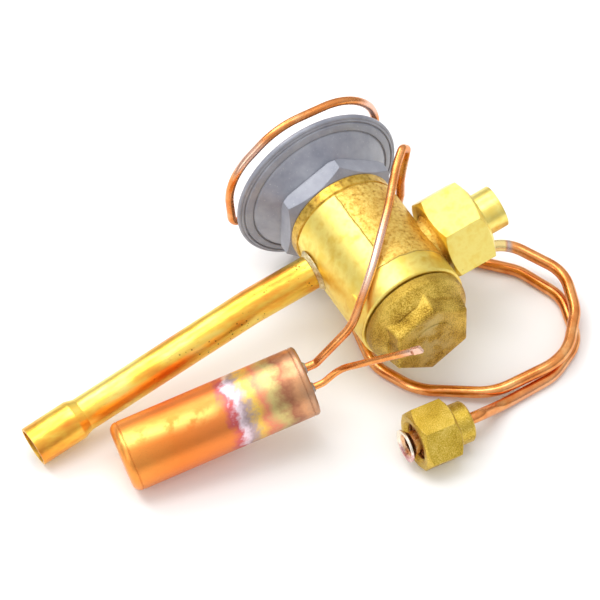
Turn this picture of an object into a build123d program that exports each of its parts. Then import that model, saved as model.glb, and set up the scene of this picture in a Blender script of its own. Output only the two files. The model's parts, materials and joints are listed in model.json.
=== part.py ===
from build123d import *
from math import cos, sin, radians
import os

os.makedirs("parts", exist_ok=True)

# Lie of the valve on the floor: it rests on the head rim, the tubes and the bulb
SHIFT_X = 25.67
SHIFT_Y = 13.04
AXIS_HEIGHT = 24.9
INLET_RISE = 10.13
HEAD_DROOP = 1.78

# Body, measured along the stem axis from the outlet axis, head side positive
BODY_RADIUS = 15.25
BODY_TOP = 7.45
BODY_FOOT = -27.55
EDGE_BREAK = 0.4
RECESS_RADIUS = 9.0
RECESS_FLOOR = 4.4
OUTLET_CHAMBER_RADIUS = 4.0
OUTLET_CHAMBER_TOP = 3.4
SEAT_SHOULDER = -3.6
SEAT_RADIUS = 3.2
INLET_CHAMBER_RADIUS = 6.9
INLET_CHAMBER_TOP = -7.0
PLUG_RADIUS = 7.5
PLUG_LEDGE = -26.0
SPIGOT_RADIUS = 11.0
SPIGOT_END = -32.5
KEYWAY_WIDTH = 1.6
KEYWAY_REACH = 7.4
KEYWAY_TOP = -16.0
FORGED_BOSS_RADIUS = 2.2
FORGED_BOSS_ANGLE = -149
FORGED_BOSS_PLACE = -20.3
FORGED_BOSS_PROUD = 0.35

# Inlet stub with its male flare thread
INLET_OFFSET = -11.32
INLET_BORE_RADIUS = 4.0
STUB_ROOT_RADIUS = 7.0
STUB_THREAD_RADIUS = 7.94
STUB_THREAD_START = 16.2
NOSE_START = 22.7
NOSE_END = 24.5
NOSE_TIP_RADIUS = 5.2

# Outlet port, tube socket and spot face
OUTLET_PORT_RADIUS = 3.2
OUTLET_SOCKET_FLOOR = 9.5
SPOT_FACE = 14.6
SPOT_FACE_FOOT = -10.0

# Equalizer socket
EQUALIZER_ANGLE = 35
EQUALIZER_LEVEL = 4.8
EQUALIZER_SOCKET_FLOOR = 11.5
EQUALIZER_PASSAGE_RADIUS = 0.8

# Seat, pin, carrier and rods
ORIFICE_RADIUS = 1.3
SEAT_FLANGE_RADIUS = 4.6
SEAT_FLANGE_FOOT = -8.0
PIN_RADIUS = 1.75
PIN_TIP_RADIUS = 0.65
PIN_TIP = -6.2
PIN_CONE_FOOT = -8.4
PIN_FOOT = -11.2
GUIDED_RADIUS = 6.6
CARRIER_TOP = -9.6
CARRIER_FOOT = -11.6
CARRIER_FLAT = 5.0
SPRING_REGISTER_RADIUS = 3.4
SPRING_REGISTER_FOOT = -13.0
ROD_RADIUS = 0.8
ROD_HOLE_RADIUS = 0.85
ROD_OFFSET = 5.6
ROD_TOP = 12.0

# Superheat spring and its guide
SPRING_MEAN_RADIUS = 4.6
SPRING_WIRE_RADIUS = 0.55
SPRING_TURNS = 4
SPRING_END_GAP = 0.02
GUIDE_TOP = -20.0
GUIDE_FOOT = -22.0
KEY_WIDTH = 1.5
KEY_REACH = 7.25

# Adjusting stem and its sealing
STEM_THREAD_RADIUS = 2.4
STEM_BORE_RADIUS = 2.45
STEM_TOP = -17.0
STEM_SHOULDER_RADIUS = 4.0
STEM_SHOULDER_TOP = -24.5
STEM_SHOULDER_FOOT = -25.95
SHANK_RADIUS = 2.0
SHANK_BORE_RADIUS = 2.05
SQUARE_START = -34.6
SQUARE_END = -36.2
SQUARE_WIDTH = 2.8
PACKING_RADIUS = 3.8
PACKING_TOP = -28.5
PACKING_FOOT = -30.9
PACKING_NUT_FLATS = 9.0
PACKING_NUT_FOOT = -34.4

# Seal cap and gasket
CAP_FACE = -27.75
CAP_FLANGE_RADIUS = 14.56
CAP_THREAD_RADIUS = 11.05
CAP_THREAD_FLOOR = -33.0
CAP_CAVITY_RADIUS = 8.0
CAP_CAVITY_FLOOR = -36.6
CAP_END = -38.1
CAP_HEX_START = -31.0
CAP_HEX_START_CORNER = 13.4
CAP_HEX_END_CORNER = 11.9
CAP_HEX_ANGLE = 40
CAP_EDGE_RADIUS = 1.1
CAP_BOSS_RADIUS = 6.0
CAP_BOSS_PROUD = 0.25
GASKET_BORE_RADIUS = 8.2
GASKET_RADIUS = 10.9

# Power element
COLLAR_FACE = 10.96
HEX_FACE = 16.3
HEX_FLATS = 30.5
HEX_CORNER_ANGLE = 43
HEAD_BORE_RADIUS = 7.2
HEAD_SPIGOT_FOOT = 5.4
NECK_RADIUS = 8.2
NECK_TOP = 18.2
CUP_THICKNESS = 1.2
RIM_WELD_ROOT = 23.37
RIM_RADIUS = 24.17
RIM_FRONT = 23.4
RIM_BACK = 25.0
DIAPHRAGM_FRONT = 24.0
DIAPHRAGM_BACK = 24.3
BUFFER_FRONT = 22.2
BUFFER_BACK = 23.7
BUFFER_RADIUS = 14.0
BUFFER_HUB_RADIUS = 6.9
DOME_TOP = 31.0
CORRUGATIONS = (15.5, 18.5)
CORRUGATION_RADIUS = 0.6

# Capillary tube, bulb and charging stub
CAPILLARY_RADIUS = 1.15
CAPILLARY_START = 30.2
BULB_RADIUS = 9.525
BULB_LENGTH = 52.6
BULB_NOSE = (-83.74, -20.73, 9.14)
BULB_WAY = (0.97167, -0.14673, 0.18526)
BULB_NOSE_ROUND = 2.2
BULB_END_ROUND = 0.9
BULB_LINE_INSET = 1.9
BULB_LINE_DEPTH = 0.15
MOUTH_ASIDE = 2.3
CAPILLARY_MOUTH_RISE = 2.0
STUB_RADIUS = 0.95
STUB_MOUTH_DROP = 0.9
PINCH_LENGTH = 3.0
PINCH_THICKNESS = 0.9

# Inlet adapter, nut and strainer
ADAPTER_SHANK_RADIUS = 5.9
ADAPTER_HEAD_RADIUS = 7.3
ADAPTER_END = 35.7
ADAPTER_BORE_RADIUS = 3.6
SOLDER_SOCKET_RADIUS = 4.8
SOLDER_SOCKET_FLOOR = 27.7
INLET_NUT_FLATS = 22.2
INLET_NUT_START = 16.0
INLET_NUT_END = 29.4
INLET_NUT_THREAD_RADIUS = 8.05
INLET_NUT_HOLE_RADIUS = 5.97
INLET_NUT_CORNER_ANGLE = 7
INLET_NUT_RING_RADIUS = 9.45
STRAINER_FLANGE_RADIUS = 4.8
STRAINER_FLANGE_DEPTH = 0.8

# Outlet tube
OUTLET_TUBE_RADIUS = 4.7625
OUTLET_WALL = 0.8
BELL_RADIUS = 5.55
BELL_BORE_RADIUS = 4.8
BELL_LENGTH = 13.0
BELL_TAPER = 2.5
OUTLET_BRAZE_RADIUS = 6.0
OUTLET_BRAZE_WIDTH = 1.2

# Equalizer tube, flare shank and nut
EQUALIZER_RADIUS = 1.6
EQUALIZER_BORE_RADIUS = 0.9
FLARE_NUT_CENTRE = (-6.97, -53.22, 7.94)
FLARE_NUT_WAY = (0.99911, -0.04225, 0.0)
FLARE_NUT_FLATS = 15.875
FLARE_NUT_MOUTH = -7.4
FLARE_NUT_HEX_END = 3.4
FLARE_NUT_NECK_RADIUS = 5.65
FLARE_NUT_END = 8.3
FLARE_NUT_THREAD_RADIUS = 5.0
FLARE_NUT_SHOULDER = -1.5
FLARE_SHANK_RADIUS = 3.175
FLARE_NUT_HOLE_RADIUS = 3.25
FLARE_LIP_RADIUS = 4.53
FLARE_FACE = -10.2
FLARE_SHANK_END = 8.9
FLARE_BORE_RADIUS = 2.4
FLARE_BORE_END = 5.4

# Directions and planes of the valve
RISE = radians(INLET_RISE)
DROOP = radians(HEAD_DROOP)
INLET_WAY = Vector(cos(RISE), 0, sin(RISE))
HEAD_WAY = Vector(sin(RISE) * sin(DROOP), cos(DROOP), -cos(RISE) * sin(DROOP))
DOWN_WAY = HEAD_WAY.cross(INLET_WAY)
VALVE_CENTRE = Vector(SHIFT_X, SHIFT_Y, AXIS_HEIGHT)
VALVE = Plane(origin=VALVE_CENTRE, x_dir=INLET_WAY, z_dir=HEAD_WAY)
SECTION = Plane(origin=VALVE_CENTRE, x_dir=INLET_WAY, z_dir=-DOWN_WAY)
STEM_AXIS = Axis(VALVE_CENTRE, HEAD_WAY)
OUTLET_AXIS = Axis(VALVE_CENTRE, INLET_WAY)
INLET_CENTRE = VALVE_CENTRE + HEAD_WAY * INLET_OFFSET
INLET = Plane(origin=INLET_CENTRE, x_dir=HEAD_WAY, z_dir=INLET_WAY)
INLET_SECTION = Plane(origin=INLET_CENTRE, x_dir=INLET_WAY, z_dir=-DOWN_WAY)
INLET_AXIS = Axis(INLET_CENTRE, INLET_WAY)


def on_floor(x, y, z):
    """Point given from the floor under the valve centre."""
    return Vector(x + SHIFT_X, y + SHIFT_Y, z)


def in_valve(across, down, along):
    """Point given across, down and along the stem axis."""
    return VALVE_CENTRE + INLET_WAY * across + DOWN_WAY * down + HEAD_WAY * along


def turn(outline, plane=SECTION, axis=STEM_AXIS, mode=Mode.ADD):
    """Turned shape from a closed half outline."""
    with BuildSketch(plane) as half_section:
        with BuildLine():
            Polyline(*outline, close=True)
        make_face()
    revolve(half_section.sketch, axis=axis, mode=mode)


def turn_inlet(outline, mode=Mode.ADD):
    """Turned shape about the inlet axis, given as distance out and radius."""
    turn(outline, INLET_SECTION, INLET_AXIS, mode)


def ring(inner, outer, foot, top):
    """Half outline of a plain ring."""
    return [(inner, foot), (outer, foot), (outer, top), (inner, top)]


def hexagon(plane, start, length, flats, corner_angle):
    """Hexagon bar standing on a plane."""
    with BuildSketch(plane.offset(start)) as outline:
        RegularPolygon(flats / 2, 6, major_radius=False, rotation=corner_angle)
    extrude(outline.sketch, amount=length)


def bent_tube(corners, bends, radius, bore=0.0):
    """Round tube along straight runs joined by bends."""
    with BuildLine() as centre_line:
        FilletPolyline(*corners, radius=bends)
    run = centre_line.line
    with BuildSketch(Plane(origin=run @ 0, z_dir=run % 0)) as wall:
        Circle(radius)
        if bore:
            Circle(bore, mode=Mode.SUBTRACT)
    sweep(wall.sketch, path=run)


def save(piece, name):
    """Name a finished piece and write it out."""
    piece.part.label = name
    export_step(piece.part, f"parts/{name}.step")


# Valve body
EQUALIZER_TURN = radians(EQUALIZER_ANGLE)
EQUALIZER_WAY = INLET_WAY * cos(EQUALIZER_TURN) + DOWN_WAY * sin(EQUALIZER_TURN)
EQUALIZER_ROOT = in_valve(0, 0, EQUALIZER_LEVEL)
EQUALIZER_PORT = Plane(origin=EQUALIZER_ROOT, z_dir=EQUALIZER_WAY)
BOSS_TURN = radians(FORGED_BOSS_ANGLE)
BOSS_WAY = INLET_WAY * cos(BOSS_TURN) + DOWN_WAY * sin(BOSS_TURN)

with BuildPart() as valve_body:
    turn([
        (0, SPIGOT_END),
        (SPIGOT_RADIUS - EDGE_BREAK, SPIGOT_END),
        (SPIGOT_RADIUS, SPIGOT_END + EDGE_BREAK),
        (SPIGOT_RADIUS, BODY_FOOT),
        (BODY_RADIUS - EDGE_BREAK, BODY_FOOT),
        (BODY_RADIUS, BODY_FOOT + EDGE_BREAK),
        (BODY_RADIUS, BODY_TOP - EDGE_BREAK),
        (BODY_RADIUS - EDGE_BREAK, BODY_TOP),
        (0, BODY_TOP),
    ])
    with BuildSketch(Plane(origin=in_valve(0, 0, FORGED_BOSS_PLACE), z_dir=BOSS_WAY)):
        Circle(FORGED_BOSS_RADIUS)
    extrude(amount=BODY_RADIUS + FORGED_BOSS_PROUD)
    turn_inlet([
        (0, 0),
        (0, STUB_ROOT_RADIUS),
        (STUB_THREAD_START - 1, STUB_ROOT_RADIUS),
        (STUB_THREAD_START, STUB_THREAD_RADIUS),
        (NOSE_START - 1, STUB_THREAD_RADIUS),
        (NOSE_START, STUB_ROOT_RADIUS),
        (NOSE_END, NOSE_TIP_RADIUS),
        (NOSE_END, 0),
    ])
    with BuildSketch(SECTION):
        with Locations((-SPOT_FACE - BODY_RADIUS / 2, (BODY_TOP + SPOT_FACE_FOOT) / 2)):
            Rectangle(BODY_RADIUS, BODY_TOP - SPOT_FACE_FOOT)
    extrude(amount=BODY_RADIUS, both=True, mode=Mode.SUBTRACT)
    turn([
        (0, RECESS_FLOOR),
        (RECESS_RADIUS, RECESS_FLOOR),
        (RECESS_RADIUS, BODY_TOP),
        (0, BODY_TOP),
    ], mode=Mode.SUBTRACT)
    turn([
        (0, SPIGOT_END),
        (PLUG_RADIUS, SPIGOT_END),
        (PLUG_RADIUS, PLUG_LEDGE),
        (INLET_CHAMBER_RADIUS, PLUG_LEDGE),
        (INLET_CHAMBER_RADIUS, INLET_CHAMBER_TOP),
        (SEAT_RADIUS, INLET_CHAMBER_TOP),
        (SEAT_RADIUS, SEAT_SHOULDER),
        (OUTLET_CHAMBER_RADIUS, SEAT_SHOULDER),
        (OUTLET_CHAMBER_RADIUS, OUTLET_CHAMBER_TOP),
        (0, OUTLET_CHAMBER_TOP),
    ], mode=Mode.SUBTRACT)
    turn_inlet([
        (0, 0),
        (NOSE_END, 0),
        (NOSE_END, STRAINER_FLANGE_RADIUS),
        (NOSE_END - STRAINER_FLANGE_DEPTH, STRAINER_FLANGE_RADIUS),
        (NOSE_END - STRAINER_FLANGE_DEPTH, INLET_BORE_RADIUS),
        (0, INLET_BORE_RADIUS),
    ], mode=Mode.SUBTRACT)
    turn([
        (0, 0),
        (0, OUTLET_PORT_RADIUS),
        (-OUTLET_SOCKET_FLOOR, OUTLET_PORT_RADIUS),
        (-OUTLET_SOCKET_FLOOR, OUTLET_TUBE_RADIUS),
        (-BODY_RADIUS, OUTLET_TUBE_RADIUS),
        (-BODY_RADIUS, 0),
    ], axis=OUTLET_AXIS, mode=Mode.SUBTRACT)
    with BuildSketch(VALVE.offset(INLET_CHAMBER_TOP)):
        with Locations((0, ROD_OFFSET), (0, -ROD_OFFSET)):
            Circle(ROD_HOLE_RADIUS)
    extrude(amount=RECESS_FLOOR - INLET_CHAMBER_TOP, mode=Mode.SUBTRACT)
    with BuildSketch(VALVE.offset(PLUG_LEDGE)):
        with Locations((-KEYWAY_REACH / 2, 0)):
            Rectangle(KEYWAY_REACH, KEYWAY_WIDTH)
    extrude(amount=KEYWAY_TOP - PLUG_LEDGE, mode=Mode.SUBTRACT)
    with BuildSketch(EQUALIZER_PORT.offset(EQUALIZER_SOCKET_FLOOR)):
        Circle(EQUALIZER_RADIUS)
    extrude(amount=BODY_RADIUS, mode=Mode.SUBTRACT)
    with BuildSketch(EQUALIZER_PORT.offset(RECESS_RADIUS - 1.0)):
        Circle(EQUALIZER_PASSAGE_RADIUS)
    extrude(amount=EQUALIZER_SOCKET_FLOOR - RECESS_RADIUS + 1.0, mode=Mode.SUBTRACT)
save(valve_body, "valve_body")

# Valve seat, held against the flow by its flange
with BuildPart() as valve_seat:
    turn([
        (ORIFICE_RADIUS, SEAT_SHOULDER),
        (SEAT_RADIUS, SEAT_SHOULDER),
        (SEAT_RADIUS, INLET_CHAMBER_TOP),
        (SEAT_FLANGE_RADIUS, INLET_CHAMBER_TOP),
        (SEAT_FLANGE_RADIUS, SEAT_FLANGE_FOOT),
        (ORIFICE_RADIUS + EDGE_BREAK, SEAT_FLANGE_FOOT),
        (ORIFICE_RADIUS, SEAT_FLANGE_FOOT + 2 * EDGE_BREAK),
    ])
save(valve_seat, "valve_seat")

# Valve pin with its metering cone
with BuildPart() as valve_pin:
    turn([
        (0, PIN_FOOT),
        (PIN_RADIUS, PIN_FOOT),
        (PIN_RADIUS, PIN_CONE_FOOT),
        (PIN_TIP_RADIUS, PIN_TIP),
        (0, PIN_TIP),
    ])
save(valve_pin, "valve_pin")

# Pin carrier, flatted so the liquid passes
with BuildPart() as pin_carrier:
    turn([
        (0, PIN_FOOT),
        (PIN_RADIUS, PIN_FOOT),
        (PIN_RADIUS, CARRIER_TOP),
        (GUIDED_RADIUS, CARRIER_TOP),
        (GUIDED_RADIUS, CARRIER_FOOT),
        (SPRING_REGISTER_RADIUS, CARRIER_FOOT),
        (SPRING_REGISTER_RADIUS, SPRING_REGISTER_FOOT),
        (0, SPRING_REGISTER_FOOT),
    ])
    with BuildSketch(VALVE.offset(SPRING_REGISTER_FOOT)):
        Rectangle(2 * CARRIER_FLAT, 2 * GUIDED_RADIUS)
    extrude(amount=CARRIER_TOP - SPRING_REGISTER_FOOT, mode=Mode.INTERSECT)
save(pin_carrier, "pin_carrier")

# Push rods between the buffer plate and the pin carrier
for number, side in ((1, 1), (2, -1)):
    with BuildPart() as push_rod:
        with BuildSketch(VALVE.offset(CARRIER_TOP)):
            with Locations((0, side * ROD_OFFSET)):
                Circle(ROD_RADIUS)
        extrude(amount=ROD_TOP - CARRIER_TOP)
    save(push_rod, f"push_rod_{number}")

# Superheat spring
SPRING_FOOT = GUIDE_TOP + SPRING_WIRE_RADIUS + SPRING_END_GAP
SPRING_HEIGHT = CARRIER_FOOT - SPRING_WIRE_RADIUS - SPRING_END_GAP - SPRING_FOOT
with BuildPart() as superheat_spring:
    with BuildLine() as coil:
        Helix(SPRING_HEIGHT / SPRING_TURNS, SPRING_HEIGHT, SPRING_MEAN_RADIUS,
              center=in_valve(0, 0, SPRING_FOOT), direction=HEAD_WAY)
    with BuildSketch(Plane(origin=coil.line @ 0, z_dir=coil.line % 0)):
        Circle(SPRING_WIRE_RADIUS)
    sweep(path=coil.line, is_frenet=True)
save(superheat_spring, "superheat_spring")

# Spring guide, keyed to the body and threaded on the stem
with BuildPart() as spring_guide:
    with BuildSketch(VALVE.offset(GUIDE_FOOT)):
        Circle(GUIDED_RADIUS)
        with Locations((-KEY_REACH / 2, 0)):
            Rectangle(KEY_REACH, KEY_WIDTH)
        Circle(STEM_BORE_RADIUS, mode=Mode.SUBTRACT)
    extrude(amount=GUIDE_TOP - GUIDE_FOOT)
save(spring_guide, "spring_guide")

# Adjusting stem with a square end
with BuildPart() as adjusting_stem:
    turn([
        (0, SQUARE_START),
        (SHANK_RADIUS, SQUARE_START),
        (SHANK_RADIUS, STEM_SHOULDER_FOOT),
        (STEM_SHOULDER_RADIUS, STEM_SHOULDER_FOOT),
        (STEM_SHOULDER_RADIUS, STEM_SHOULDER_TOP),
        (STEM_THREAD_RADIUS, STEM_SHOULDER_TOP),
        (STEM_THREAD_RADIUS, STEM_TOP),
        (0, STEM_TOP),
    ])
    with BuildSketch(VALVE.offset(SQUARE_END)):
        Rectangle(SQUARE_WIDTH, SQUARE_WIDTH)
    extrude(amount=SQUARE_START - SQUARE_END)
save(adjusting_stem, "adjusting_stem")

# Bottom plug
with BuildPart() as bottom_plug:
    turn([
        (SHANK_BORE_RADIUS, PLUG_LEDGE),
        (PLUG_RADIUS, PLUG_LEDGE),
        (PLUG_RADIUS, SPIGOT_END),
        (PACKING_RADIUS, SPIGOT_END),
        (PACKING_RADIUS, PACKING_TOP),
        (SHANK_BORE_RADIUS, PACKING_TOP),
    ])
save(bottom_plug, "bottom_plug")

# Stem packing
with BuildPart() as stem_packing:
    turn(ring(SHANK_BORE_RADIUS, PACKING_RADIUS, PACKING_FOOT, PACKING_TOP))
save(stem_packing, "stem_packing")

# Packing nut
with BuildPart() as packing_nut:
    hexagon(VALVE, PACKING_NUT_FOOT, SPIGOT_END - PACKING_NUT_FOOT, PACKING_NUT_FLATS, 0)
    turn(ring(0, PACKING_RADIUS, SPIGOT_END, PACKING_FOOT))
    turn(ring(0, SHANK_BORE_RADIUS, PACKING_NUT_FOOT, PACKING_FOOT), mode=Mode.SUBTRACT)
save(packing_nut, "packing_nut")

# Seal cap gasket
with BuildPart() as cap_gasket:
    turn(ring(GASKET_BORE_RADIUS, GASKET_RADIUS, CAP_THREAD_FLOOR, SPIGOT_END))
save(cap_gasket, "cap_gasket")

# Seal cap, forged, with a tapered hexagon
with BuildPart() as seal_cap:
    for place, corner in ((CAP_HEX_START, CAP_HEX_START_CORNER), (CAP_END, CAP_HEX_END_CORNER)):
        with BuildSketch(VALVE.offset(place)):
            RegularPolygon(corner, 6, rotation=CAP_HEX_ANGLE)
    loft()
    fillet(seal_cap.edges(), CAP_EDGE_RADIUS)
    turn([
        (0, CAP_FACE),
        (CAP_FLANGE_RADIUS - EDGE_BREAK, CAP_FACE),
        (CAP_FLANGE_RADIUS, CAP_FACE - EDGE_BREAK),
        (CAP_FLANGE_RADIUS, -29.6),
        (14.2, -30.7),
        (13.4, -31.8),
        (12.6, -33.0),
        (11.6, -34.2),
        (0, -34.2),
    ])
    with BuildSketch(VALVE.offset(CAP_END - CAP_BOSS_PROUD)):
        Circle(CAP_BOSS_RADIUS)
    extrude(amount=2 * CAP_BOSS_PROUD)
    turn([
        (0, CAP_FACE),
        (CAP_THREAD_RADIUS, CAP_FACE),
        (CAP_THREAD_RADIUS, CAP_THREAD_FLOOR),
        (CAP_CAVITY_RADIUS, CAP_THREAD_FLOOR),
        (CAP_CAVITY_RADIUS, CAP_CAVITY_FLOOR),
        (0, CAP_CAVITY_FLOOR),
    ], mode=Mode.SUBTRACT)
save(seal_cap, "seal_cap")

# Inlet strainer: a flanged cone closed at its tip
with BuildPart() as inlet_strainer:
    turn_inlet([
        (NOSE_END, STRAINER_FLANGE_RADIUS),
        (NOSE_END - STRAINER_FLANGE_DEPTH, STRAINER_FLANGE_RADIUS),
        (NOSE_END - STRAINER_FLANGE_DEPTH, 3.7),
        (11.0, 1.4),
        (10.6, 0),
        (11.0, 0),
        (11.4, 1.1),
        (NOSE_END, 3.4),
    ])
save(inlet_strainer, "inlet_strainer")

# Inlet adapter: flared head, shank and solder socket
HEAD_BACK = 26.0
HEAD_SHOULDER = HEAD_BACK + ADAPTER_HEAD_RADIUS - ADAPTER_SHANK_RADIUS
with BuildPart() as inlet_adapter:
    turn_inlet([
        (NOSE_START, STUB_ROOT_RADIUS),
        (NOSE_END + 0.05, NOSE_TIP_RADIUS - 0.05),
        (NOSE_END + 0.05, ADAPTER_BORE_RADIUS),
        (SOLDER_SOCKET_FLOOR, ADAPTER_BORE_RADIUS),
        (SOLDER_SOCKET_FLOOR, SOLDER_SOCKET_RADIUS),
        (ADAPTER_END, SOLDER_SOCKET_RADIUS),
        (ADAPTER_END, ADAPTER_SHANK_RADIUS),
        (HEAD_SHOULDER, ADAPTER_SHANK_RADIUS),
        (HEAD_BACK, ADAPTER_HEAD_RADIUS),
        (NOSE_START, ADAPTER_HEAD_RADIUS),
    ])
save(inlet_adapter, "inlet_adapter")

# Inlet nut
NUT_CORNER = INLET_NUT_FLATS / 2 / cos(radians(30))
NUT_CONE_FOOT = HEAD_BACK - INLET_NUT_THREAD_RADIUS + ADAPTER_HEAD_RADIUS
NUT_CONE_END = HEAD_BACK + ADAPTER_HEAD_RADIUS - INLET_NUT_HOLE_RADIUS
with BuildPart() as inlet_nut:
    hexagon(INLET, INLET_NUT_START, INLET_NUT_END - INLET_NUT_START, INLET_NUT_FLATS,
            INLET_NUT_CORNER_ANGLE)
    with BuildSketch(INLET_SECTION) as envelope:
        with BuildLine():
            Polyline(
                (INLET_NUT_START, 0),
                (INLET_NUT_START, INLET_NUT_FLATS / 2),
                (INLET_NUT_START + 1, NUT_CORNER),
                (INLET_NUT_END - 1.9, NUT_CORNER),
                (INLET_NUT_END - 0.6, INLET_NUT_RING_RADIUS + 0.9),
                (INLET_NUT_END - 0.5, INLET_NUT_RING_RADIUS),
                (INLET_NUT_END, INLET_NUT_RING_RADIUS - 0.4),
                (INLET_NUT_END, 0),
                close=True,
            )
        make_face()
    revolve(axis=INLET_AXIS, mode=Mode.INTERSECT)
    turn_inlet([
        (INLET_NUT_START, 0),
        (INLET_NUT_START, INLET_NUT_THREAD_RADIUS),
        (NUT_CONE_FOOT, INLET_NUT_THREAD_RADIUS),
        (NUT_CONE_END, INLET_NUT_HOLE_RADIUS),
        (INLET_NUT_END, INLET_NUT_HOLE_RADIUS),
        (INLET_NUT_END, 0),
    ], mode=Mode.SUBTRACT)
save(inlet_nut, "inlet_nut")

# Outlet tube with its belled end
OUTLET_RUN = (
    in_valve(-OUTLET_SOCKET_FLOOR, 0, 0),
    in_valve(-34.5, 0, 0),
    on_floor(-100.9, -3.5, 5.62),
)
OUTLET_BENDS = 80
BELL_WAY = (OUTLET_RUN[-1] - OUTLET_RUN[-2]).normalized()
BELL = Plane(origin=OUTLET_RUN[-1], z_dir=-BELL_WAY)
BELL_ROOT = OUTLET_RUN[-1] - BELL_WAY * (BELL_LENGTH + BELL_TAPER)
with BuildPart() as outlet_tube:
    bent_tube(OUTLET_RUN[:-1] + (BELL_ROOT,), OUTLET_BENDS, OUTLET_TUBE_RADIUS,
              OUTLET_TUBE_RADIUS - OUTLET_WALL)
    with BuildSketch(BELL):
        Circle(BELL_RADIUS)
        Circle(BELL_BORE_RADIUS, mode=Mode.SUBTRACT)
    extrude(amount=BELL_LENGTH)
    for outer, inner, mode in (
        (BELL_RADIUS, OUTLET_TUBE_RADIUS, Mode.ADD),
        (BELL_BORE_RADIUS, OUTLET_TUBE_RADIUS - OUTLET_WALL, Mode.SUBTRACT),
    ):
        with BuildSketch(BELL.offset(BELL_LENGTH)):
            Circle(outer)
        with BuildSketch(BELL.offset(BELL_LENGTH + BELL_TAPER)):
            Circle(inner)
        loft(mode=mode)
save(outlet_tube, "outlet_tube")

# Braze ring at the outlet tube
with BuildPart() as outlet_braze:
    turn([
        (-SPOT_FACE, OUTLET_TUBE_RADIUS),
        (-SPOT_FACE, OUTLET_BRAZE_RADIUS),
        (-SPOT_FACE - OUTLET_BRAZE_WIDTH, OUTLET_TUBE_RADIUS),
    ], axis=OUTLET_AXIS)
save(outlet_braze, "outlet_braze")

# Element collar
with BuildPart() as element_collar:
    turn([
        (RECESS_RADIUS, BODY_TOP),
        (BODY_RADIUS - EDGE_BREAK, BODY_TOP),
        (BODY_RADIUS, BODY_TOP + EDGE_BREAK),
        (BODY_RADIUS, COLLAR_FACE - EDGE_BREAK),
        (BODY_RADIUS - EDGE_BREAK, COLLAR_FACE),
        (RECESS_RADIUS, COLLAR_FACE),
    ])
save(element_collar, "element_collar")

# Element hexagon with its spigot and neck
with BuildPart() as element_hex:
    hexagon(VALVE, COLLAR_FACE, HEX_FACE - COLLAR_FACE, HEX_FLATS, HEX_CORNER_ANGLE)
    with BuildSketch(SECTION) as hex_envelope:
        with BuildLine():
            Polyline(
                (0, COLLAR_FACE),
                (15.0, COLLAR_FACE),
                (17.7, 12.8),
                (17.7, 15.5),
                (16.7, HEX_FACE),
                (0, HEX_FACE),
                close=True,
            )
        make_face()
    revolve(axis=STEM_AXIS, mode=Mode.INTERSECT)
    turn(ring(0, RECESS_RADIUS, HEAD_SPIGOT_FOOT, COLLAR_FACE))
    turn(ring(0, NECK_RADIUS, HEX_FACE, NECK_TOP))
    turn(ring(0, HEAD_BORE_RADIUS, HEAD_SPIGOT_FOOT, NECK_TOP), mode=Mode.SUBTRACT)
save(element_hex, "element_hex")

# Lower cup with two grooves near its rim
with BuildPart() as lower_cup:
    turn([
        (NECK_RADIUS, HEX_FACE),
        (14.2, HEX_FACE),
        (19.8, 21.9),
        (20.2, 22.5),
        (20.5, 22.2),
        (21.3, 22.5),
        (22.2, 22.9),
        (22.5, 23.4),
        (22.8, 23.1),
        (RIM_WELD_ROOT, RIM_FRONT),
        (RIM_WELD_ROOT, DIAPHRAGM_FRONT),
        (20.3, DIAPHRAGM_FRONT),
        (19.4, 23.2),
        (13.7, HEX_FACE + CUP_THICKNESS),
        (NECK_RADIUS, HEX_FACE + CUP_THICKNESS),
    ])
save(lower_cup, "lower_cup")

# Rim weld round the two cups and the diaphragm edge
with BuildPart() as rim_weld:
    with BuildSketch(SECTION):
        with BuildLine():
            Line((RIM_WELD_ROOT, RIM_FRONT), (RIM_WELD_ROOT, RIM_BACK))
            ThreePointArc((RIM_WELD_ROOT, RIM_FRONT), (RIM_RADIUS, (RIM_FRONT + RIM_BACK) / 2),
                          (RIM_WELD_ROOT, RIM_BACK))
        make_face()
    revolve(axis=STEM_AXIS)
save(rim_weld, "rim_weld")

# Corrugated diaphragm
with BuildPart() as diaphragm:
    turn(ring(0, RIM_WELD_ROOT, DIAPHRAGM_FRONT, DIAPHRAGM_BACK))
    for place in CORRUGATIONS:
        turn([
            (place - CORRUGATION_RADIUS, DIAPHRAGM_BACK),
            (place + CORRUGATION_RADIUS, DIAPHRAGM_BACK),
            (place, DIAPHRAGM_BACK + CORRUGATION_RADIUS),
        ])
save(diaphragm, "diaphragm")

# Buffer plate with its hub
with BuildPart() as buffer_plate:
    turn([
        (0, ROD_TOP),
        (BUFFER_HUB_RADIUS, ROD_TOP),
        (BUFFER_HUB_RADIUS, BUFFER_FRONT),
        (BUFFER_RADIUS, BUFFER_FRONT),
        (BUFFER_RADIUS, BUFFER_BACK),
        (0, BUFFER_BACK),
    ])
save(buffer_plate, "buffer_plate")

# Upper cup, a shallow dome
with BuildPart() as upper_cup:
    turn([
        (CAPILLARY_RADIUS, DOME_TOP),
        (10.4, DOME_TOP - 0.4),
        (18.3, 28.5),
        (20.9, RIM_BACK),
        (RIM_WELD_ROOT, RIM_BACK),
        (RIM_WELD_ROOT, DIAPHRAGM_BACK),
        (20.3, DIAPHRAGM_BACK),
        (17.5, 27.6),
        (10.0, DOME_TOP - CUP_THICKNESS - 0.4),
        (CAPILLARY_RADIUS, DOME_TOP - CUP_THICKNESS),
    ])
save(upper_cup, "upper_cup")

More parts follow.
